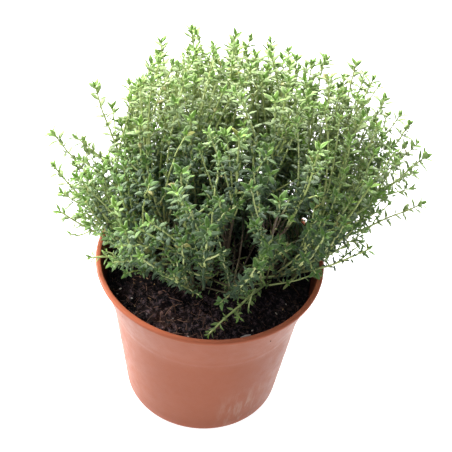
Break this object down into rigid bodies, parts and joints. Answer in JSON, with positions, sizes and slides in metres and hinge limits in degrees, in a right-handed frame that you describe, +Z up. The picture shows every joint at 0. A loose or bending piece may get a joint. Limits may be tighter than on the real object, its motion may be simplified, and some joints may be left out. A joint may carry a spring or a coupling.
{
  "type": "potted thyme",
  "caption": "Bushy thyme plant of separate leafy stems growing in peat in a tapered round plastic pot with a flared collar.",
  "frame": {"origin": "middle of the pot's flat underside", "axes": "+Z up along the pot's axis, +X to the right and +Y away from the viewer as in the picture"},
  "size_m": [0.2012, 0.1647, 0.198],
  "materials": {
    "pot_plastic": "satin",
    "peat": "matte",
    "thyme": "satin"
  },
  "bodies": {
    "root": {"leafy_stem_01": "thyme", "leafy_stem_02": "thyme", "leafy_stem_03": "thyme", "leafy_stem_04": "thyme", "leafy_stem_05": "thyme", "leafy_stem_06": "thyme", "leafy_stem_07": "thyme", "leafy_stem_08": "thyme", "leafy_stem_09": "thyme", "leafy_stem_10": "thyme", "leafy_stem_11": "thyme", "leafy_stem_12": "thyme", "leafy_stem_13": "thyme", "leafy_stem_14": "thyme", "leafy_stem_15": "thyme", "leafy_stem_16": "thyme", "leafy_stem_17": "thyme", "leafy_stem_18": "thyme", "leafy_stem_19": "thyme", "leafy_stem_20": "thyme", "leafy_stem_21": "thyme", "leafy_stem_22": "thyme", "leafy_stem_23": "thyme", "leafy_stem_24": "thyme", "leafy_stem_25": "thyme", "leafy_stem_26": "thyme", "leafy_stem_27": "thyme", "leafy_stem_28": "thyme", "leafy_stem_29": "thyme", "leafy_stem_30": "thyme", "leafy_stem_31": "thyme", "leafy_stem_32": "thyme", "leafy_stem_33": "thyme", "leafy_stem_34": "thyme", "leafy_stem_35": "thyme", "leafy_stem_36": "thyme", "leafy_stem_37": "thyme", "leafy_stem_38": "thyme", "leafy_stem_39": "thyme", "leafy_stem_40": "thyme", "leafy_stem_41": "thyme", "leafy_stem_42": "thyme", "leafy_stem_43": "thyme", "peat": "peat", "pot": "pot_plastic"}
  },
  "joints": []
}
